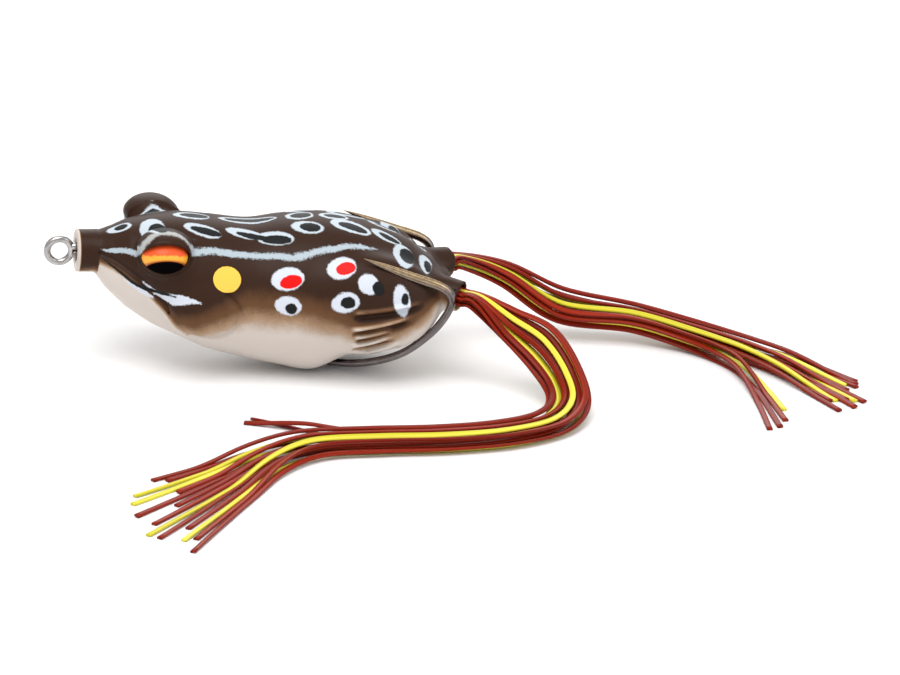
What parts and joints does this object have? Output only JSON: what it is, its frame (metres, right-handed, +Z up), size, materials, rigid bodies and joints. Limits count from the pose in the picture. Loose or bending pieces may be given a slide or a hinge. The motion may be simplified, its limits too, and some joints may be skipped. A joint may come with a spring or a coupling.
{
  "type": "hollow-body topwater frog lure",
  "caption": "Hollow soft frog lure with a collared nose, line-tie eye, upswept double hook, domed eyes and two strand skirt legs.",
  "frame": {"origin": "centre of the line-tie eye's hole, just ahead of the nose", "axes": "+X runs back along the lure towards the tail, +Y to the frog's right, along the line-tie eye's hole, +Z up towards the back"},
  "size_m": [0.1253, 0.0956, 0.0243],
  "materials": {
    "frog_skin": "soft PVC, painted brown over cream, satin clear coat",
    "hook_wire": "black nickel plate",
    "ballast": "bare cast metal",
    "eye_resin": "domed resin over a painted iris, gloss",
    "strand_red_brown": "glossy silicone strip",
    "strand_chartreuse": "glossy silicone strip"
  },
  "bodies": {
    "body": {"body_shell": "frog_skin", "double_hook": "hook_wire", "hook_weight": "ballast", "skirt_core": "strand_red_brown"},
    "eyes": {"eye_left": "eye_resin", "eye_right": "eye_resin"},
    "left_leg": {"left_strand_1": "strand_red_brown", "left_strand_2": "strand_red_brown", "left_strand_3": "strand_red_brown", "left_strand_4": "strand_red_brown", "left_strand_5": "strand_chartreuse", "left_strand_6": "strand_chartreuse", "left_strand_7": "strand_red_brown", "left_strand_8": "strand_red_brown", "left_strand_9": "strand_red_brown", "left_strand_10": "strand_red_brown", "left_strand_11": "strand_chartreuse", "left_strand_12": "strand_red_brown", "left_strand_13": "strand_red_brown", "left_strand_14": "strand_chartreuse", "left_strand_15": "strand_red_brown", "left_strand_16": "strand_red_brown"},
    "right_leg": {"right_strand_1": "strand_red_brown", "right_strand_2": "strand_red_brown", "right_strand_3": "strand_red_brown", "right_strand_4": "strand_chartreuse", "right_strand_5": "strand_red_brown", "right_strand_6": "strand_red_brown", "right_strand_7": "strand_chartreuse", "right_strand_8": "strand_red_brown", "right_strand_9": "strand_red_brown", "right_strand_10": "strand_chartreuse", "right_strand_11": "strand_red_brown", "right_strand_12": "strand_red_brown", "right_strand_13": "strand_chartreuse", "right_strand_14": "strand_red_brown", "right_strand_15": "strand_red_brown", "right_strand_16": "strand_red_brown"}
  },
  "joints": [
    {"name": "body_squeeze", "type": "slide", "parent": "body", "child": "eyes", "axis": [0, 0, -1], "range_m": [0, 0.001], "stiffness_N_per_m": 900, "deforming": ["body_shell"]},
    {"name": "left_leg_swing", "type": "hinge", "parent": "body", "child": "left_leg", "pos_m": [0.0609, -0.0076, -0.0047], "axis": [0, 0, 1], "range_deg": [-18, 18]},
    {"name": "right_leg_swing", "type": "hinge", "parent": "body", "child": "right_leg", "pos_m": [0.0609, 0.0076, -0.0047], "axis": [0, 0, 1], "range_deg": [-18, 18]}
  ]
}
